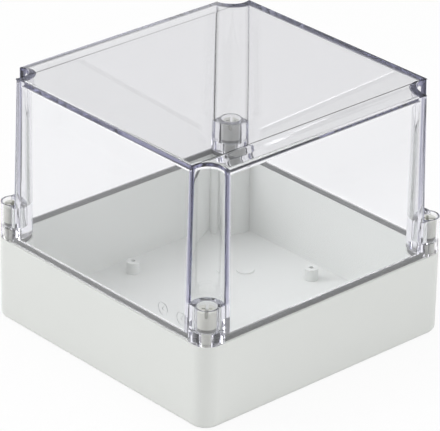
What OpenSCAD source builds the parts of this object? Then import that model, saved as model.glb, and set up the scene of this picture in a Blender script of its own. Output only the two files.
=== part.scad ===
// Wall box with a deep clear lid, held down by four captive corner screws.
// Origin: centre of the underside of the base. +Z up, base below, lid above.

/* [Box] */
// Width of the base along X
box_w = 180; // [150:1:240]
// Depth of the base along Y
box_d = 182; // [150:1:240]
// Height of the closed box
box_h = 151.6; // [110:0.1:200]
// Height of the base, up to the joint with the lid
base_h = 50.4; // [45:0.1:56]
// Radius of the base's upright corners
corner_r = 10; // [9:0.5:12]
// Radius along the base's bottom edge
foot_r = 3.2; // [1:0.1:4]

/* [Base] */
// Thickness of the base floor
floor_t = 3.2; // [2.5:0.1:4]
// Thickness of the base wall at the rim
rim_t = 5; // [4.9:0.1:6]
// Thickness of the base wall at the floor
wall_foot_t = 4.2; // [3.5:0.1:4.8]
// Distance of the four floor bosses from the centre
boss_reach = 72; // [50:1:74]
// Outside radius of a floor boss
boss_r = 4; // [3:0.1:5]
// Height of a floor boss above the floor
boss_h = 7.5; // [4:0.5:12]
// Radius of the pilot hole in a floor boss
boss_hole_r = 1.4; // [1:0.1:2]
// Radius of the round locating pads on the floor
pad_r = 5.5; // [4:0.5:8]
// Distance of a pad from the centre along X
pad_x = 33; // [20:1:45]
// Distance of a pad from the centre along Y
pad_y = 50; // [20:1:60]
// Radius of a wall-fixing hole in the floor
fixing_r = 2.25; // [2:0.05:2.6]

/* [Lid] */
// Thickness of the lid's side walls
lid_wall = 3; // [2.5:0.1:4]
// Thickness of the lid's top plate
lid_top = 3.4; // [2.5:0.1:5]
// Step from the base outline in to the lid wall, at the joint
lid_step = 1.6; // [1:0.1:2.5]
// Step from the base outline in to the lid wall, at the top
lid_top_step = 4; // [3:0.1:6]
// Radius of the bend that lowers the lid's left and right top edges
bend_r = 60; // [40:1:90]
// Width of that bend
bend_w = 14; // [8:0.5:18]
// Radius of the groove down each upright corner of the lid
groove_r = 9.7; // [9:0.1:11]
// Height of the top of a screw pillar
pillar_top = 72; // [68:0.5:80]
// Outside radius of a screw pillar
pillar_r = 6.8; // [6.5:0.1:7.2]
// Height of the flange that the screw head pulls down on
flange_top = 58; // [56:0.5:60]
// Radius of the well around a screw head
well_r = 5.7; // [5.5:0.1:5.9]
// Radius of the shank hole in the flange
shank_hole_r = 3.5; // [3.3:0.1:3.6]

/* [Gasket] */
// Width of the gasket's section
gasket_w = 2.2; // [1.5:0.1:2.4]
// Height of the gasket's section
gasket_h = 3.3; // [2:0.1:4]
// Thickness of the lid skirt outside the gasket
skirt_t = 1; // [0.8:0.1:1.2]

/* [Screws] */
// Distance of the screw axes in from the base outline
screw_inset = 8; // [7.5:0.1:8.5]
// Radius of a screw head
head_r = 5.2; // [4.8:0.1:5.4]
// Height of the top of a screw head
head_top = 70.4; // [66:0.1:71]
// Thickness of the washer under a head
washer_t = 2; // [1:0.1:2.5]
// Radius of the bare neck below a head
neck_r = 3.1; // [2.8:0.05:3.2]
// Radius over the screw thread
thread_r = 3.8; // [3.7:0.05:3.85]
// Length of the thread at the tip
thread_l = 6; // [4:0.5:8]
// Height of the upper end of the thread
thread_top = 44; // [42:0.5:45]
// Width of the driver slots
slot_w = 1.5; // [1:0.1:2]
// Depth of the driver slots
slot_deep = 3.2; // [1.5:0.1:4]

/* [Hidden] */
$fn = 72;
past = 1;                                    // how far a cutter runs past the face it opens
screw_x = box_w / 2 - screw_inset;
screw_y = box_d / 2 - screw_inset;
corners = [[-1, -1], [1, -1], [1, 1], [-1, 1]]; // screws 1 to 4, anticlockwise from the left front
column_r = groove_r + lid_wall;              // the lid wall follows its groove round the inside
gasket_in = lid_step + skirt_t;              // outline of the gasket, in from the base outline
gasket_arc_r = groove_r;                     // the gasket bends round the screw flange
thread_gap = 0.08;                           // running clearance of the thread, and of the neck in its washer
insert_r = 5.4;
insert_bore_r = thread_r + thread_gap;
insert_top = thread_top;
insert_l = thread_l + 1;
channel_step = 0.6;                          // shoulder that the insert is pressed down on
channel_r = insert_bore_r + channel_step;
web_t = 6;                                   // floor web that the wall-fixing screw pulls on
pad_h = 0.8;
boss_root = 1;                               // solid root of a floor boss, under its pilot hole
washer_r = head_r - 0.2;
tip_chamfer = 1;
thread_relief = 0.6;                         // run-out from the thread into the neck
head_chamfer = 0.5;
cross_l = 1.1 * head_r;                      // length of the short arms of the driver recess
foot_gap = 0.4;                              // step from the base outline in to the lid's corner foot
mark_r = 4;
mark_line = 0.7;
mark_deep = 0.35;
mark_z = 61;
mark_x = [54, 69];
mark_turn = 60;                              // direction of a mark's pointer

// ---- shared shapes ----

// Moves its children to every screw axis, in the order of `corners`.
module at_screws() {
    for (c = corners) translate([c[0] * screw_x, c[1] * screw_y, 0]) children();
}

// A block whose four sides lean: inset by `low` at z0 and by `high` at z1.
// With a bend, its top curves down to the left and right edges with that radius.
module leaning_block(low, high, z0, z1, bend = 0) {
    intersection() {
        rotate([90, 0, 0]) linear_extrude(box_d + 2 * past, center = true) difference() {
            leaning_outline(box_w / 2, low, high, z0, z1);
            if (bend > 0) for (s = [-1, 1]) above_bend(s, z1, bend);
        }
        rotate([90, 0, 90]) linear_extrude(box_w + 2 * past, center = true)
            leaning_outline(box_d / 2, low, high, z0, z1);
    }
}

module leaning_outline(half, low, high, z0, z1) {
    polygon([[low - half, z0], [half - low, z0], [half - high, z1], [high - half, z1]]);
}

// What lies above the bend on side s of a top at height z1, in the X-Z outline.
module above_bend(s, z1, bend) {
    start = box_w / 2 - lid_top_step - bend_w;
    difference() {
        translate([s * (start + bend / 2), z1 - (bend - past) / 2]) square([bend, bend + past], center = true);
        translate([s * start, z1 - bend]) circle(bend);
    }
}

// The plan outline of the box, rounded at the corners, `step` in from the base outline.
module box_outline(step) {
    r = corner_r - step;
    half_w = box_w / 2 - corner_r;
    half_d = box_d / 2 - corner_r;
    square([2 * half_w, 2 * (half_d + r)], center = true);
    for (s = [-1, 1]) translate([s * (half_w + r / 2), 0]) square([r, 2 * half_d], center = true);
    for (c = corners) translate([c[0] * half_w, c[1] * half_d]) circle(r);
}

// Plan outline of one edge of the gasket: a square that bends inwards round every screw.
module gasket_outline(step, arc_r) {
    difference() {
        square([box_w - 2 * step, box_d - 2 * step], center = true);
        for (c = corners) translate([c[0] * screw_x, c[1] * screw_y]) circle(arc_r);
    }
}

// ---- base ----

// Section of the base's side: upright outside, rounded into the underside.
module side_section() {
    difference() {
        square([corner_r, base_h]);
        difference() {
            translate([corner_r - foot_r, -past]) square([foot_r + past, foot_r + past]);
            translate([corner_r - foot_r, foot_r]) circle(foot_r);
        }
    }
}

// The base before it is hollowed: quarter-round corners, straight sides and a core.
module base_block() {
    half_w = box_w / 2 - corner_r;
    half_d = box_d / 2 - corner_r;
    translate([-half_w, -half_d, 0]) cube([2 * half_w, 2 * half_d, base_h]);
    for (turn = [0, 2]) rotate(90 * turn) {
        translate([half_w, half_d, 0]) rotate([90, 0, 0]) linear_extrude(2 * half_d) side_section();
        translate([half_w, half_d, 0]) rotate_extrude(angle = 90) side_section();
    }
    for (turn = [1, 3]) rotate(90 * turn) {
        translate([half_d, half_w, 0]) rotate([90, 0, 0]) linear_extrude(2 * half_w) side_section();
        translate([half_d, half_w, 0]) rotate_extrude(angle = 90) side_section();
    }
}

// The room inside the base, between the four screw columns.
module base_room() {
    difference() {
        leaning_block(wall_foot_t, rim_t, floor_t, base_h + past);
        at_screws() translate([0, 0, -past]) cylinder(r = column_r, h = base_h + 3 * past);
    }
}

module floor_bosses() {
    for (turn = [0:3]) rotate(90 * turn) translate([boss_reach, 0, floor_t - past]) difference() {
        cylinder(r = boss_r, h = boss_h + past);
        translate([0, 0, past + boss_root]) cylinder(r = boss_hole_r, h = boss_h);
    }
}

module floor_pads() {
    for (c = corners) translate([c[0] * pad_x, c[1] * pad_y, floor_t - past])
        cylinder(r = pad_r, h = pad_h + past);
}

// Bores of one corner column: screw channel, seat of the insert and wall-fixing hole.
module column_bores() {
    translate([0, 0, web_t]) cylinder(r = channel_r, h = base_h);
    translate([0, 0, insert_top - insert_l]) cylinder(r = insert_r, h = insert_l);
    translate([0, 0, -past]) cylinder(r = fixing_r, h = web_t + 2 * past);
}

module base_shell() color("#d9dcda") {
    difference() {
        base_block();
        base_room();
        at_screws() column_bores();
    }
    floor_bosses();
    floor_pads();
}

module thread_insert(c) color("#c9a24a") translate([c[0] * screw_x, c[1] * screw_y, 0]) {
    translate([0, 0, insert_top - insert_l]) difference() {
        cylinder(r = insert_r, h = insert_l);
        translate([0, 0, -past]) cylinder(r = insert_bore_r, h = insert_l + 2 * past);
    }
}

// ---- lid ----

// The lid's outside: leaning walls under a top bent down left and right, a groove above each
// pillar and a foot around each screw.
module lid_block() {
    difference() {
        leaning_block(lid_step, lid_top_step, base_h, box_h, bend_r);
        at_screws() translate([0, 0, pillar_top]) cylinder(r = groove_r, h = box_h);
        for (c = corners) translate([c[0] * (screw_x + box_w / 2), c[1] * (screw_y + box_d / 2), 0])
            cube([box_w, box_d, 2 * pillar_top], center = true);
    }
    at_screws() translate([0, 0, base_h]) cylinder(r = pillar_r, h = pillar_top - base_h);
    translate([0, 0, base_h]) linear_extrude(flange_top - base_h) intersection() {
        box_outline(foot_gap);
        for (c = corners) translate([c[0] * screw_x, c[1] * screw_y]) circle(groove_r);
    }
}

// The room under the lid, between the walls that follow the corner grooves.
module lid_room() {
    difference() {
        leaning_block(lid_step + lid_wall, lid_top_step + lid_wall, base_h - past, box_h - lid_top,
                      bend_r - lid_top);
        at_screws() translate([0, 0, base_h - 2 * past]) cylinder(r = column_r, h = box_h);
    }
}

// One round moulding mark on the front wall: a ring and a short pointer, both sunk in.
module moulding_mark() {
    difference() {
        cylinder(r = mark_r, h = 2 * mark_deep, center = true);
        cylinder(r = mark_r - mark_line, h = 3 * mark_deep, center = true);
    }
    cylinder(r = mark_line, h = 2 * mark_deep, center = true);
    translate([0, 0, -mark_deep]) rotate(mark_turn) translate([0, -mark_line / 2, 0])
        cube([mark_r - 2 * mark_line, mark_line, 2 * mark_deep]);
}

module moulding_marks() {
    lean = atan((lid_top_step - lid_step) / (box_h - base_h));
    face_y = -box_d / 2 + lid_step + (mark_z - base_h) * tan(lean);
    for (x = mark_x) translate([x, face_y, mark_z]) rotate([90 - lean, 0, 0]) moulding_mark();
}

module lid_shell() color("#c9cfdc", 0.35) difference() {
    lid_block();
    lid_room();
    translate([0, 0, base_h - past]) linear_extrude(gasket_h + past)
        gasket_outline(gasket_in, gasket_arc_r);
    at_screws() {
        translate([0, 0, flange_top]) cylinder(r = well_r, h = box_h);
        translate([0, 0, base_h - past]) cylinder(r = shank_hole_r, h = flange_top);
    }
    moulding_marks();
}

module gasket() color("#57595b") translate([0, 0, base_h]) linear_extrude(gasket_h)
    difference() {
        gasket_outline(gasket_in, gasket_arc_r);
        gasket_outline(gasket_in + gasket_w, gasket_arc_r + gasket_w);
    }

// ---- screws ----

module screw_washer(c) color("#8b8d8a") translate([c[0] * screw_x, c[1] * screw_y, flange_top])
    difference() {
        cylinder(r = washer_r, h = washer_t);
        translate([0, 0, -past]) cylinder(r = neck_r + thread_gap, h = washer_t + 2 * past);
    }

// Section of the screw from the axis outwards: tip, thread, neck and head with a chamfered rim.
module screw_section() {
    tip = thread_top - thread_l;
    seat = flange_top + washer_t;
    polygon([
        [0, tip], [thread_r - tip_chamfer, tip], [thread_r, tip + tip_chamfer],
        [thread_r, thread_top - thread_relief], [neck_r, thread_top], [neck_r, seat], [head_r, seat],
        [head_r, head_top - head_chamfer], [head_r - head_chamfer, head_top], [0, head_top],
    ]);
}

// A slot across the whole head and a deeper cross at its centre.
module driver_recess() {
    translate([0, 0, head_top - slot_deep / 2 + past / 2]) rotate(45) {
        cube([2 * head_r + past, slot_w, slot_deep + past], center = true);
        cube([slot_w, cross_l, slot_deep + past], center = true);
    }
}

module lid_screw(c) color("#bfc1bb") translate([c[0] * screw_x, c[1] * screw_y, 0]) {
    difference() {
        rotate_extrude() screw_section();
        rotate(c[0] * c[1] > 0 ? 0 : 90) driver_recess();
    }
}

base_shell();
thread_insert(corners[0]);  // thread_insert_1
thread_insert(corners[1]);  // thread_insert_2
thread_insert(corners[2]);  // thread_insert_3
thread_insert(corners[3]);  // thread_insert_4
lid_shell();
gasket();
screw_washer(corners[0]);  // screw_washer_1
screw_washer(corners[1]);  // screw_washer_2
screw_washer(corners[2]);  // screw_washer_3
screw_washer(corners[3]);  // screw_washer_4
lid_screw(corners[0]);  // lid_screw_1
lid_screw(corners[1]);  // lid_screw_2
lid_screw(corners[2]);  // lid_screw_3
lid_screw(corners[3]);  // lid_screw_4
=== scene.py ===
import math
import bpy
import bmesh
import numpy as np
from mathutils import Matrix, Vector


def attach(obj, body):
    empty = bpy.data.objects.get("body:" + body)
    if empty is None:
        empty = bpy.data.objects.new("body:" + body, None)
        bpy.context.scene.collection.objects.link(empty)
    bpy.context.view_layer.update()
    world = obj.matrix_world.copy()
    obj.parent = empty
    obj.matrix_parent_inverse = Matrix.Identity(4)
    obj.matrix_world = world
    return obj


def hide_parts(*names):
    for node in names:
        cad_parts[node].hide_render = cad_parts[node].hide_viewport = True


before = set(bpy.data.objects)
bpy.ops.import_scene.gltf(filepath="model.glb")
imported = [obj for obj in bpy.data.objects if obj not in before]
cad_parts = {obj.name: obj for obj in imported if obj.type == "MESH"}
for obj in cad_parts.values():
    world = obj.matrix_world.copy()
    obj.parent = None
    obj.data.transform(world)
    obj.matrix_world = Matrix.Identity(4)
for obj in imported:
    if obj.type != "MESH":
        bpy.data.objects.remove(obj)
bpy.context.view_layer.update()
print("frame loaded")

# Screw axes: corner 1 is the left front one, and they run anticlockwise.
screwReach = np.array([0.082, 0.083])
screwPlaces = np.array([[-1, -1], [1, -1], [1, 1], [-1, 1]]) * screwReach


view = {
    "azimuth": 47.456,      # degrees round from the front
    "elevation": 26.616,
    "roll": 1.091,
    "distance": 1.8300,     # metres from the aim point
    "aimAcross": 0.001408,  # aim point, across and up the view from the base's centre
    "aimUp": 0.060095,
    "lens": 261.83,         # millimetres, as the film's width is
    "film": 36.0,
    "farEnd": 30.0,         # nothing further away is drawn
}


def viewAxes(azimuth, elevation, roll):
    # a view's right, up and back directions, with right and up turned about the line of sight by roll
    a, e, r = (math.radians(v) for v in (azimuth, elevation, roll))
    back = np.array([math.sin(a) * math.cos(e), -math.cos(a) * math.cos(e), math.sin(e)])
    right = np.array([math.cos(a), math.sin(a), 0.0])
    up = np.cross(back, right)
    return math.cos(r) * right + math.sin(r) * up, math.cos(r) * up - math.sin(r) * right, back


def addCamera(v):
    # looks at the aim point from the given distance
    right, up, back = viewAxes(v["azimuth"], v["elevation"], v["roll"])
    pose = np.eye(4)
    pose[:3, 0], pose[:3, 1], pose[:3, 2] = right, up, back
    pose[:3, 3] = v["aimAcross"] * right + v["aimUp"] * up + v["distance"] * back
    camera = bpy.data.objects.new("camera", bpy.data.cameras.new("camera"))
    camera.data.lens = v["lens"]
    camera.data.sensor_width = v["film"]
    camera.data.clip_end = v["farEnd"]
    camera.matrix_world = Matrix(pose.tolist())
    bpy.context.scene.collection.objects.link(camera)
    bpy.context.scene.camera = camera


studio = {
    "skyLevel": 0.50,       # light of the sky on matt faces
    "overhead": 0.24,       # what a glossy face sees above the white sweep
    "sweepTop": (0.09, 0.52),  # sines of the heights where the sweep starts and has faded out
    "softBox": (0.76, 0.90),   # sines between which the broad light straight overhead begins
    "softLevel": 1.3,
    "floorHalf": 6.0,
    "floorHeight": -0.0002,
    "floorColour": (0.84, 0.84, 0.84),
    "floorWhite": 0.90,     # how much of the seen floor is plain white, the rest being the lit floor
    "rayBounces": 32,       # clear edges carry light along many turns
    "lamps": {              # place, aim, size across, power
        "keyLamp": ((-1.15, -1.3, 1.25), (0.0, 0.0, 0.07), 1.3, 24.0),
        "sideLamp": ((1.6, 0.5, 1.1), (0.0, 0.0, 0.07), 2.4, 17.0),
        "topLamp": ((-0.2, 0.5, 2.2), (0.0, 0.0, 0.05), 2.0, 11.0),
    },
}


def nodeSet(material):
    material.use_nodes = True
    nodes, links = material.node_tree.nodes, material.node_tree.links
    nodes.clear()
    return nodes, links


def calc(nodes, links, operation, *values):
    # one math node on sockets or plain numbers
    node = nodes.new("ShaderNodeMath")
    node.operation = operation
    for socket, value in zip(node.inputs, values):
        if isinstance(value, (int, float)):
            socket.default_value = value
        else:
            links.new(value, socket)
    return node.outputs[0]


def ramp(nodes, links, value, ends, levels):
    # a smooth step from the first level at the first end to the second at the second
    node = nodes.new("ShaderNodeMapRange")
    node.interpolation_type = "SMOOTHSTEP"
    node.inputs["From Min"].default_value, node.inputs["From Max"].default_value = ends
    node.inputs["To Min"].default_value, node.inputs["To Max"].default_value = levels
    links.new(value, node.inputs["Value"])
    return node.outputs["Result"]


def seenRays(nodes, links):
    # one for rays that show a surface as it is seen, nought for those that light a matt face
    path = nodes.new("ShaderNodeLightPath")
    glossy, through = path.outputs["Is Glossy Ray"], path.outputs["Is Transmission Ray"]
    mirrored = calc(nodes, links, "MAXIMUM", glossy, through)
    return calc(nodes, links, "MAXIMUM", path.outputs["Is Camera Ray"], mirrored)


def addLamp(name, place, aim, size, power):
    lamp = bpy.data.objects.new(name, bpy.data.lights.new(name, "AREA"))
    lamp.data.shape = "SQUARE"
    lamp.data.size = size
    lamp.data.energy = power
    lamp.visible_glossy = False
    lamp.location = place
    lamp.rotation_euler = (Vector(aim) - Vector(place)).to_track_quat("-Z", "Y").to_euler()
    bpy.context.scene.collection.objects.link(lamp)


def buildSky(s):
    # an even light for matt faces, and a white sweep with a broad light overhead for what is seen or mirrored
    world = bpy.data.worlds.new("studioSky")
    bpy.context.scene.world = world
    nodes, links = nodeSet(world)
    lit = nodes.new("ShaderNodeBackground")
    lit.inputs["Color"].default_value = (1, 1, 1, 1)
    lit.inputs["Strength"].default_value = s["skyLevel"]
    seen = nodes.new("ShaderNodeBackground")
    seen.inputs["Color"].default_value = (1, 1, 1, 1)
    way = nodes.new("ShaderNodeTexCoord")
    parts = nodes.new("ShaderNodeSeparateXYZ")
    links.new(way.outputs["Generated"], parts.inputs[0])
    sweep = ramp(nodes, links, parts.outputs["Z"], s["sweepTop"], (1.0, s["overhead"]))
    above = ramp(nodes, links, parts.outputs["Z"], s["softBox"], (0.0, s["softLevel"]))
    links.new(calc(nodes, links, "MAXIMUM", sweep, above), seen.inputs["Strength"])
    pick = nodes.new("ShaderNodeMixShader")
    out = nodes.new("ShaderNodeOutputWorld")
    links.new(seenRays(nodes, links), pick.inputs["Fac"])
    links.new(lit.outputs[0], pick.inputs[1])
    links.new(seen.outputs[0], pick.inputs[2])
    links.new(pick.outputs[0], out.inputs["Surface"])


def buildFloor(s):
    # a lit floor that takes the shadow, seen mixed with plain white
    half, height = s["floorHalf"], s["floorHeight"]
    mesh = bpy.data.meshes.new("studioFloor")
    corners = [(-half, -half, height), (half, -half, height), (half, half, height), (-half, half, height)]
    mesh.from_pydata(corners, [], [(0, 1, 2, 3)])
    floor = bpy.data.objects.new("studioFloor", mesh)
    bpy.context.scene.collection.objects.link(floor)
    material = bpy.data.materials.new("studioFloor")
    nodes, links = nodeSet(material)
    matt = nodes.new("ShaderNodeBsdfDiffuse")
    matt.inputs["Color"].default_value = (*s["floorColour"], 1)
    white = nodes.new("ShaderNodeEmission")
    both = nodes.new("ShaderNodeMixShader")
    out = nodes.new("ShaderNodeOutputMaterial")
    links.new(calc(nodes, links, "MULTIPLY", seenRays(nodes, links), s["floorWhite"]), both.inputs["Fac"])
    links.new(matt.outputs[0], both.inputs[1])
    links.new(white.outputs[0], both.inputs[2])
    links.new(both.outputs[0], out.inputs["Surface"])
    mesh.materials.append(material)


addCamera(view)
bpy.context.scene.view_settings.view_transform = "Standard"
cycles = bpy.context.scene.cycles
cycles.max_bounces = cycles.transmission_bounces = cycles.glossy_bounces = studio["rayBounces"]
buildSky(studio)
buildFloor(studio)
for lampName, lampSetting in studio["lamps"].items():
    addLamp(lampName, *lampSetting)
print("camera and studio ready")


finishShared = {
    "ior": 1.52,
    "broad": 14.0,          # scale of the slow change in colour and gloss
    "glossStray": 0.04,     # how far the roughness goes either way
}
# stray is how far a colour goes darker and lighter, and grain the scale of a fine bump of the given depth
finishes = {
    "greyPc": {"colour": (0.720, 0.735, 0.712), "stray": 0.012, "roughness": 0.46,
               "grain": 2600.0, "depth": 0.00001},
    "sealRubber": {"colour": (0.135, 0.138, 0.140), "stray": 0.06, "roughness": 0.62,
                   "grain": 1500.0, "depth": 0.00002},
    "washerRubber": {"colour": (0.16, 0.16, 0.155), "stray": 0.06, "roughness": 0.55,
                     "grain": 1500.0, "depth": 0.00002},
    "screwPlastic": {"colour": (0.60, 0.605, 0.56), "stray": 0.02, "roughness": 0.38,
                     "grain": 1800.0, "depth": 0.00001},
    "insertBrass": {"colour": (0.72, 0.50, 0.20), "stray": 0.05, "roughness": 0.28,
                    "grain": 900.0, "depth": 0.00001, "metallic": 1.0},
}
clearFinish = {
    "tint": (0.985, 0.985, 0.99),
    "paintedEdgeShade": (0.31, 0.31, 0.42),     # painted shade along the upright edges of the corner grooves
    "shade": (0.962, 0.962, 0.97),      # what a face lets through of the light that falls on others
    "body": (0.40, 0.40, 0.60), "density": 11.0,
    "roughness": 0.012, "ior": 1.585,
    "edgePast": (0.0016, 0.0028),       # how far inwards of the edge the painted shade holds and ends
    "edgeReach": (0.0112, 0.0122),      # the same, out from the screw axis
    "edgeRise": (0.0715, 0.0728),       # heights between which it begins
    "edgeLean": (0.0315, -0.00113),     # slope and start of the edge's own place along the diagonal
}


def objectNoise(nodes, links, scale, detail):
    place = nodes.new("ShaderNodeTexCoord")
    noise = nodes.new("ShaderNodeTexNoise")
    noise.inputs["Scale"].default_value = scale
    noise.inputs["Detail"].default_value = detail
    links.new(place.outputs["Object"], noise.inputs["Vector"])
    return noise.outputs["Fac"]


def spread(nodes, links, source, low, high):
    # stretches a noise's middle part over low to high
    stretch = nodes.new("ShaderNodeMapRange")
    stretch.inputs["From Min"].default_value = 0.3
    stretch.inputs["From Max"].default_value = 0.7
    stretch.inputs["To Min"].default_value = low
    stretch.inputs["To Max"].default_value = high
    links.new(source, stretch.inputs["Value"])
    return stretch.outputs["Result"]


def twoTone(nodes, links, source, colour, change):
    # the finish's colour, a little darker and lighter along a noise
    mix = nodes.new("ShaderNodeMix")
    mix.data_type = "RGBA"
    mix.inputs["A"].default_value = (*[c * (1 - change) for c in colour], 1)
    mix.inputs["B"].default_value = (*[min(c * (1 + change), 1) for c in colour], 1)
    links.new(spread(nodes, links, source, 0.0, 1.0), mix.inputs["Factor"])
    return mix.outputs["Result"]


def bumped(nodes, links, source, depth):
    bump = nodes.new("ShaderNodeBump")
    bump.inputs["Strength"].default_value = 1.0
    bump.inputs["Distance"].default_value = depth
    links.new(source, bump.inputs["Height"])
    return bump.outputs["Normal"]


def mouldedMaterial(name):
    # an opaque finish: colour and gloss change slowly over it, and the grain is a fine bump
    f, shared = finishes[name], finishShared
    material = bpy.data.materials.new(name)
    nodes, links = nodeSet(material)
    shader = nodes.new("ShaderNodeBsdfPrincipled")
    shader.inputs["Metallic"].default_value = f.get("metallic", 0.0)
    shader.inputs["IOR"].default_value = shared["ior"]
    broad = objectNoise(nodes, links, shared["broad"], 3.0)
    fine = objectNoise(nodes, links, f["grain"], 2.0)
    rougher, smoother = f["roughness"] + shared["glossStray"], f["roughness"] - shared["glossStray"]
    rough = spread(nodes, links, broad, smoother, rougher)
    links.new(twoTone(nodes, links, broad, f["colour"], f["stray"]), shader.inputs["Base Color"])
    links.new(rough, shader.inputs["Roughness"])
    links.new(bumped(nodes, links, fine, f["depth"]), shader.inputs["Normal"])
    out = nodes.new("ShaderNodeOutputMaterial")
    links.new(shader.outputs[0], out.inputs["Surface"])
    return material


def paintedGrooveShade(nodes, links, f):
    # mask for painted shade, one near the upright edges of the corner grooves: close to the groove's radius
    # round the screw axis, and about as far inwards along the diagonal as the edge, which leans a little with
    # the wall
    def sums(operation, *values):
        return calc(nodes, links, operation, *values)

    place = nodes.new("ShaderNodeTexCoord")
    parts = nodes.new("ShaderNodeSeparateXYZ")
    links.new(place.outputs["Object"], parts.inputs[0])
    x, y, z = (parts.outputs[n] for n in "XYZ")
    across = sums("SUBTRACT", sums("ABSOLUTE", x), float(screwReach[0]))
    along = sums("SUBTRACT", sums("ABSOLUTE", y), float(screwReach[1]))
    reach = sums("SQRT", sums("ADD", sums("MULTIPLY", across, across), sums("MULTIPLY", along, along)))
    inward = sums("MULTIPLY", sums("ADD", across, along), -math.sqrt(0.5))
    edge = sums("ADD", sums("MULTIPLY", z, f["edgeLean"][0]), f["edgeLean"][1])
    past = sums("SUBTRACT", inward, edge)
    near = sums("MULTIPLY", ramp(nodes, links, past, f["edgePast"], (1.0, 0.0)),
                ramp(nodes, links, reach, f["edgeReach"], (1.0, 0.0)))
    return sums("MULTIPLY", near, ramp(nodes, links, z, f["edgeRise"], (0.0, 1.0)))


def clearMaterial(f):
    # a clear skin with painted shade along the groove edges, that absorbs with thickness and casts a thin
    # shadow
    material = bpy.data.materials.new("clearPc")
    nodes, links = nodeSet(material)
    glass = nodes.new("ShaderNodeBsdfPrincipled")
    # the skin's own tint, mixed towards painted shade along the groove edges
    tint = nodes.new("ShaderNodeMix")
    tint.data_type = "RGBA"
    tint.inputs["A"].default_value = (*f["tint"], 1)
    tint.inputs["B"].default_value = (*f["paintedEdgeShade"], 1)
    links.new(paintedGrooveShade(nodes, links, f), tint.inputs["Factor"])
    links.new(tint.outputs["Result"], glass.inputs["Base Color"])
    glass.inputs["Roughness"].default_value = f["roughness"]
    glass.inputs["IOR"].default_value = f["ior"]
    glass.inputs["Transmission Weight"].default_value = 1.0
    thin = nodes.new("ShaderNodeBsdfTransparent")
    thin.inputs["Color"].default_value = (*f["shade"], 1)
    path = nodes.new("ShaderNodeLightPath")
    pick = nodes.new("ShaderNodeMixShader")
    links.new(path.outputs["Is Shadow Ray"], pick.inputs["Fac"])
    links.new(glass.outputs[0], pick.inputs[1])
    links.new(thin.outputs[0], pick.inputs[2])
    out = nodes.new("ShaderNodeOutputMaterial")
    links.new(pick.outputs[0], out.inputs["Surface"])
    body = nodes.new("ShaderNodeVolumeAbsorption")
    body.inputs["Color"].default_value = (*f["body"], 1)
    body.inputs["Density"].default_value = f["density"]
    links.new(body.outputs[0], out.inputs["Volume"])
    return material


greyPc, sealRubber, washerRubber, screwPlastic, insertBrass = map(mouldedMaterial, finishes)
clearPc = clearMaterial(clearFinish)
print("finishes ready")


def gridFaces(rows, columns, rowsClose, columnsClose):
    # quads between neighbouring points of a grid, wrapped where it closes on itself
    r = np.arange(rows if rowsClose else rows - 1)
    c = np.arange(columns if columnsClose else columns - 1)
    r, c = np.meshgrid(r, c, indexing="ij")
    r2, c2 = (r + 1) % rows, (c + 1) % columns
    quads = np.stack([r * columns + c, r * columns + c2, r2 * columns + c2, r2 * columns + c], axis=-1)
    return quads.reshape(-1, 4)


def fillMesh(mesh, points, faces):
    # puts whole arrays of points and quads into a mesh
    mesh.vertices.add(len(points))
    mesh.vertices.foreach_set("co", points.astype(np.float32).ravel())
    mesh.loops.add(faces.size)
    mesh.loops.foreach_set("vertex_index", faces.astype(np.int32).ravel())
    mesh.polygons.add(len(faces))
    mesh.polygons.foreach_set("loop_start", np.arange(0, faces.size, 4, dtype=np.int32))
    mesh.update(calc_edges=True)


def finishPiece(name, mesh, material, body, slot, nodeNames, sharpDegrees=35.0):
    # doubles merged, faces turned outwards, and the piece set on its body in place of its nodes
    bm = bmesh.new()
    bm.from_mesh(mesh)
    bmesh.ops.remove_doubles(bm, verts=bm.verts, dist=1e-7)
    bmesh.ops.dissolve_degenerate(bm, edges=bm.edges, dist=1e-8)
    bmesh.ops.recalc_face_normals(bm, faces=bm.faces)
    bm.to_mesh(mesh)
    bm.free()
    mesh.shade_smooth()
    mesh.set_sharp_from_angle(angle=math.radians(sharpDegrees))
    mesh.materials.clear()
    mesh.materials.append(material)
    piece = bpy.data.objects.new(name, mesh)
    bpy.context.scene.collection.objects.link(piece)
    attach(piece, body)
    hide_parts(*nodeNames)
    return piece


def gridPiece(name, points, rowsClose, columnsClose, *rest, **more):
    # a piece whose whole skin is one grid of points
    rows, columns = points.shape[:2]
    mesh = bpy.data.meshes.new(name)
    fillMesh(mesh, points.reshape(-1, 3), gridFaces(rows, columns, rowsClose, columnsClose))
    return finishPiece(name, mesh, *rest, **more)


def revolve(radius, z, centre, steps):
    # a radius for each height, or for each height and step of the turn, carried once round an upright axis
    turn = np.linspace(0, 2 * np.pi, steps, endpoint=False)
    radius = np.broadcast_to(radius.reshape(len(z), -1), (len(z), steps))
    return np.stack([centre[0] + radius * np.cos(turn), centre[1] + radius * np.sin(turn),
                     np.repeat(z[:, None], steps, axis=1)], axis=-1)


def roundedLoop(r0, r1, z0, z1, soft, steps=6):
    # a closed rectangle r0..r1 by z0..z1 whose corners are quarter circles of radius soft
    quarter = np.linspace(0, np.pi / 2, steps)
    arcs = []
    for centre, start in (((r1 - soft, z1 - soft), 0), ((r0 + soft, z1 - soft), 1),
                          ((r0 + soft, z0 + soft), 2), ((r1 - soft, z0 + soft), 3)):
        a = quarter + start * np.pi / 2
        arcs.append(np.stack([centre[0] + soft * np.cos(a), centre[1] + soft * np.sin(a)], axis=-1))
    return np.concatenate(arcs)


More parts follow.
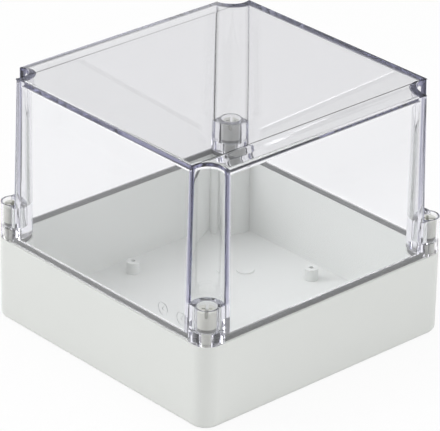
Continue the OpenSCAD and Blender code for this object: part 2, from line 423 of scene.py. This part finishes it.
def plainCopy(nodeName, name):
    # the node's own faces, joined and with flat neighbours fused, in a fresh mesh
    bm = bmesh.new()
    bm.from_mesh(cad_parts[nodeName].data)
    bmesh.ops.remove_doubles(bm, verts=bm.verts, dist=2e-6)
    bmesh.ops.dissolve_degenerate(bm, edges=bm.edges, dist=1e-6)
    bmesh.ops.dissolve_limit(bm, angle_limit=math.radians(0.1), verts=bm.verts, edges=bm.edges,
                             use_dissolve_boundaries=False)
    mesh = bpy.data.meshes.new(name)
    bm.to_mesh(mesh)
    bm.free()
    for left in [a.name for a in mesh.attributes if a.name in ("custom_normal", "sharp_face")]:
        mesh.attributes.remove(mesh.attributes[left])
    return mesh


def readArray(things, what, kind, width=1):
    values = np.empty(len(things) * width, kind)
    things.foreach_get(what, values)
    return values if width == 1 else values.reshape(-1, width)


foldDegrees = 40    # edges that fold by less are part of a curve and stay as they are


def markSoftEdges(mesh, weigh, hollow):
    # an edge is marked where its two faces fold away from each other, outwards, by more than the angle:
    # the cross of their normals then runs along the edge as the first face goes round it. Edges that fold
    # inwards are marked where hollow says so.
    # weigh gives each edge's share of the full width from its middle point and its direction
    points = readArray(mesh.vertices, "co", np.float32, 3)
    corner = readArray(mesh.loops, "vertex_index", np.int32)
    edge = readArray(mesh.loops, "edge_index", np.int32)
    start = readArray(mesh.polygons, "loop_start", np.int32)
    total = readArray(mesh.polygons, "loop_total", np.int32)
    normal = readArray(mesh.polygons, "normal", np.float32, 3)
    face = np.repeat(np.arange(len(start)), total)
    after = np.arange(len(corner)) + 1
    after[start + total - 1] = start
    order = np.argsort(edge, kind="stable")
    one, two = order[0::2], order[1::2]
    begin, end = points[corner[one]], points[corner[after[one]]]
    along = end - begin
    outward = (np.cross(normal[face[one]], normal[face[two]]) * along).sum(axis=1) > 0
    cosine = (normal[face[one]] * normal[face[two]]).sum(axis=1)
    middle, way = (begin + end) / 2, along / np.maximum(np.linalg.norm(along, axis=1), 1e-9)[:, None]
    folds = (outward | hollow(middle, way)) & (cosine < math.cos(math.radians(foldDegrees)))
    weight = np.zeros(len(mesh.edges), np.float32)
    weight[edge[one]] = weigh(middle, way) * folds
    mesh.attributes.new("bevel_weight_edge", "FLOAT", "EDGE").data.foreach_set("value", weight)


def softenEdges(piece, width, segments, weigh, hollow=lambda middle, way: False):
    # a bevel along the marked edges, and normals weighted by area so that flat faces stay flat
    markSoftEdges(piece.data, weigh, hollow)
    bevel = piece.modifiers.new("softEdges", "BEVEL")
    bevel.width = width
    bevel.segments = segments
    bevel.limit_method = "WEIGHT"
    bevel.use_clamp_overlap = False
    bevel.loop_slide = False
    bevel.harden_normals = True
    flat = piece.modifiers.new("flatFaces", "WEIGHTED_NORMAL")
    flat.keep_sharp = True


def fromScrews(points):
    # distance in plan from each point to the nearest screw axis
    return np.hypot(*(np.abs(points[:, :2]) - screwReach).T)


baseLook = {
    "edge": 0.00035, "segments": 2,
    "rim": 0.0504,
    "lowShare": 0.2,        # edges below this share of the rim's height are softened too
}


def buildBase(b):
    # the outlines of the rim, of the underside and of the pads are softened
    mesh = plainCopy("base_shell", "baseMoulding")
    piece = finishPiece("baseMoulding", mesh, greyPc, "base", "grey_polycarbonate", ["base_shell"])

    def weigh(middle, way):
        level = np.abs(way[:, 2]) < 0.1
        return level & ((middle[:, 2] > b["rim"] - 1e-4) | (middle[:, 2] < b["lowShare"] * b["rim"]))

    softenEdges(piece, b["edge"], b["segments"], weigh)


lidLook = {
    "edge": 0.0015,         # width of the rounding along the upright edges of the corner grooves
    "topShare": 0.09,       # share of it along the top plate's outline and on the pillars
    "arcShare": 0.4,        # share of it where a groove runs out at the top
    "segments": 5,
    "foot": 0.0504,         # underside of the lid
    "footGap": 0.00004,     # the thin film of air between lid and base
    "top": 0.15159,         # a hair under the full height, which leaves room for the rounding
    "softFrom": 0.0605,     # no edge below this height is rounded
    "grooveStart": 0.0725,  # height above which the grooves run
    "grooveReach": 0.0099,
    "topPlate": 0.1470,     # height above which an edge belongs to the top plate
    "ceiling": 0.1475,      # about the height of the outline of its underside
    "ceilingSpan": 0.0016,  # and how far it strays from that
    "ceilingShare": 0.8,    # share of the rounding in that hollow corner
    "markPlaces": ((0.054, 0.061), (0.069, 0.061)),
    "markReach": 0.0045,
    "markDepth": 0.0002,    # points deeper than this are the mark's floor
    "markRise": 0.00022,    # how far that floor comes up
    "markFace": -0.08,      # the marks are on the wall in front of this
}


def ceilingEdges(l):
    # the outline of the top plate's underside
    def chosen(middle, way):
        return (np.abs(way[:, 2]) < 0.5) & (np.abs(middle[:, 2] - l["ceiling"]) < l["ceilingSpan"])
    return chosen


def lidWeights(l):
    # the full width along the grooves' upright edges, a share of it elsewhere and none near the foot
    def weigh(middle, way):
        high = middle[:, 2] > l["grooveStart"]
        upright = np.abs(way[:, 2]) > 0.9
        arc = (fromScrews(middle) < l["grooveReach"]) & (middle[:, 2] > l["topPlate"])
        low = middle[:, 2] < l["softFrom"]
        share = np.where(upright & high, 1.0, np.where(arc, l["arcShare"], l["topShare"]))
        share = np.where(ceilingEdges(l)(middle, way), l["ceilingShare"], share)
        return np.where(low, 0.0, share)
    return weigh


def buildLid(l):
    # the marks on the front wall become shallower and the foot stands a hair above the base
    mesh = plainCopy("lid_shell", "lidMoulding")
    points = readArray(mesh.vertices, "co", np.float32, 3)
    points[:, 2] = np.clip(points[:, 2], l["foot"] + l["footGap"], l["top"])
    for x, z in l["markPlaces"]:
        inMark = np.hypot(points[:, 0] - x, points[:, 2] - z) < l["markReach"]
        near = inMark & (points[:, 1] < l["markFace"])
        face = points[near, 1].min() if near.any() else 0.0
        deep = near & (points[:, 1] > face + l["markDepth"])
        points[deep, 1] -= l["markRise"]
    mesh.vertices.foreach_set("co", points.ravel())
    mesh.update()
    piece = finishPiece("lidMoulding", mesh, clearPc, "lid", "clear_polycarbonate", ["lid_shell"])
    softenEdges(piece, l["edge"], l["segments"], lidWeights(l), ceilingEdges(l))


gasketLook = {
    "outer": (0.0874, 0.0884),  # outer faces, out from the centre
    "bend": 0.0097,         # radius of the bend round a screw
    "wide": 0.0022,
    "bottom": 0.05042,
    "top": 0.05368,
    "hair": 0.00002,        # clearance to the rebate around it
    "soft": 0.0003,         # radius along the section's corners
    "tight": 0.0007,        # rounding where the straights turn into the bends
}


def gasketLine(half, bend, tight, steps=28):
    # plan loop: at each screw an arc of radius bend curves inwards round the axis, and it ends where it
    # meets the straights; the sharp turn there is rounded by a quadratic curve between points tight away
    # from it
    reach = half - screwReach
    wide = np.pi / 4 + np.arcsin(reach / bend)
    turn = np.linspace(1 - tight / bend / wide.mean(), -1 + tight / bend / wide.mean(), steps)
    blend = np.linspace(0, 1, 7)[:-1, None]
    loops = []
    for i, place in enumerate(screwPlaces):
        inward = np.pi * (0.25 + 0.5 * i)
        inX, inY = (wide[1], wide[0]) if i % 2 else (wide[0], wide[1])
        angle = inward + np.where(turn > 0, turn * inX, turn * inY)
        arc = place + bend * np.stack([np.cos(angle), np.sin(angle)], axis=-1)
        first = place + bend * np.array([math.cos(inward + inX), math.sin(inward + inX)])
        last = place + bend * np.array([math.cos(inward - inY), math.sin(inward - inY)])
        come = np.array([math.cos(np.pi * 0.5 * (i - 1)), math.sin(np.pi * 0.5 * (i - 1))])  # way in
        leave = np.array([math.cos(np.pi * 0.5 * i), math.sin(np.pi * 0.5 * i)])             # way out
        start, stop = first - tight * come, last + tight * leave
        entry = (1 - blend) ** 2 * start + 2 * blend * (1 - blend) * first + blend ** 2 * arc[0]
        departure = (1 - blend) ** 2 * arc[-1] + 2 * blend * (1 - blend) * last + blend ** 2 * stop
        loops += [entry, arc, departure[1:], stop[None]]
    return np.concatenate(loops)


def buildGasket(g):
    # a rounded section carried round the plan loop: a point's share of the width places it between the loops
    # of the outer and the inner face
    outerHalf = np.array(g["outer"]) - g["hair"]
    outer = gasketLine(outerHalf, g["bend"] + g["hair"], g["tight"])
    wide = g["wide"] - 2 * g["hair"]
    inner = gasketLine(outerHalf - wide, g["bend"] + g["hair"] + wide, g["tight"])
    section = roundedLoop(0.0, wide, g["bottom"], g["top"], g["soft"])
    share = (section[:, 0] / wide)[:, None, None]
    plan = outer[None] + share * (inner - outer)[None]
    height = np.broadcast_to(section[:, 1][:, None, None], plan.shape[:2] + (1,))
    points = np.concatenate([plan, height], axis=-1)
    gridPiece("sealRing", points, True, True, sealRubber, "lid", "seal_rubber", ["gasket"],
              sharpDegrees=50.0)


washerLook = {
    "inner": 0.00318, "outer": 0.0050, "bottom": 0.05802, "top": 0.05998, "soft": 0.0004,
    "steps": 72,
}


def buildWashers(w):
    # a rectangle with rounded corners, turned once round each screw axis
    loop = roundedLoop(w["inner"], w["outer"], w["bottom"], w["top"], w["soft"])
    for i, place in enumerate(screwPlaces, 1):
        points = revolve(loop[:, 0], loop[:, 1], place, w["steps"])
        gridPiece(f"headWasher{i}", points, True, True, washerRubber, f"washer_{i}", "washer_rubber",
                  [f"screw_washer_{i}"])


insertLook = {
    "inner": 0.00388, "outer": 0.0054, "bottom": 0.037, "top": 0.044, "soft": 0.0003,
    "ribs": 36, "ribDepth": 0.00025,
    "steps": 144,
}


def buildInserts(n):
    # a ring whose outer face is knurled: its radius falls and rises once for each rib round the turn
    loop = roundedLoop(n["inner"], n["outer"], n["bottom"], n["top"], n["soft"], steps=4)
    turn = np.linspace(0, 2 * np.pi, n["steps"], endpoint=False)
    outside = np.clip((loop[:, 0] - n["outer"] + 2 * n["soft"]) / n["soft"], 0, 1)
    depth = n["ribDepth"] * np.outer(outside, 0.5 - 0.5 * np.cos(n["ribs"] * turn))
    for i, place in enumerate(screwPlaces, 1):
        points = revolve(loop[:, :1] - depth, loop[:, 1], place, n["steps"])
        gridPiece(f"threadInsert{i}", points, True, True, insertBrass, "base", "insert_brass",
                  [f"thread_insert_{i}"])


screwLook = {
    "edge": 0.00022, "segments": 2,
    "cut": 0.0590,          # the head's own mesh ends here, and the shank reaches a little into it
    "stub": 0.0594,
    "tip": 0.0380, "tipBevel": 0.0005,
    "neck": 0.0031,
    "threadTop": 0.0440, "threadDepth": 0.0007, "pitch": 0.003,
    "ridge": (2.1, 3.2),    # width of the thread's crest and steepness of its sides
    "fade": (0.0012, 0.0008),  # lengths over which the thread comes in and runs out
    "steps": 96, "rise": 1e-4,
}


def screwShank(s, place):
    # neck and thread in one skin: the radius is the neck's plus the thread's depth times a ridge that climbs
    # one pitch for each turn and fades at both ends; both ends run in to the axis
    heights = np.arange(s["tip"], s["threadTop"] + 4 * s["rise"], s["rise"])
    z = np.concatenate([[s["tip"]], heights, [s["stub"], s["stub"]]])
    turn = np.linspace(0, 2 * np.pi, s["steps"], endpoint=False)
    phase = np.mod((z[:, None] - s["pitch"] * turn[None, :] / (2 * np.pi)) / s["pitch"], 1.0)
    ridge = np.clip(s["ridge"][0] - s["ridge"][1] * np.abs(2 * phase - 1), 0, 1)
    ridge = ridge * ridge * (3 - 2 * ridge)
    comeIn, runOut = s["fade"]
    fade = np.clip((z - s["tip"]) / comeIn, 0, 1) * np.clip((s["threadTop"] - z) / runOut, 0, 1)
    bevel = s["tipBevel"] * np.clip(1 - (z - s["tip"]) / s["tipBevel"], 0, 1)
    radius = s["neck"] - bevel[:, None] + s["threadDepth"] * ridge * fade[:, None]
    radius[[0, -1]] = 0.0
    return revolve(radius, z, place, s["steps"])


def buildScrews(s):
    # the head keeps the node's own shape with its driver slots, and a threaded shank replaces what is below
    for i, place in enumerate(screwPlaces, 1):
        head = plainCopy(f"lid_screw_{i}", f"screwHead{i}")
        shank = bpy.data.meshes.new(f"screwShank{i}")
        points = screwShank(s, place)
        fillMesh(shank, points.reshape(-1, 3), gridFaces(points.shape[0], points.shape[1], False, True))
        bm = bmesh.new()
        bm.from_mesh(head)
        whole = [*bm.verts, *bm.edges, *bm.faces]
        cut = bmesh.ops.bisect_plane(bm, geom=whole, plane_co=(0, 0, s["cut"]), plane_no=(0, 0, 1),
                                     clear_inner=True)
        mouth = [e for e in cut["geom_cut"] if isinstance(e, bmesh.types.BMEdge)]
        bmesh.ops.holes_fill(bm, edges=mouth, sides=0)
        bm.from_mesh(shank)
        mesh = bpy.data.meshes.new(f"lidScrew{i}")
        bm.to_mesh(mesh)
        bm.free()
        piece = finishPiece(f"lidScrew{i}", mesh, screwPlastic, f"screw_{i}", "screw_polyamide",
                            [f"lid_screw_{i}"])
        softenEdges(piece, s["edge"], s["segments"], lambda middle, way: middle[:, 2] > s["cut"] + 1e-4)


buildBase(baseLook)
print("base ready")
buildLid(lidLook)
print("lid ready")
buildGasket(gasketLook)
print("gasket ready")
buildWashers(washerLook)
buildInserts(insertLook)
buildScrews(screwLook)
print("screws, washers and inserts ready")
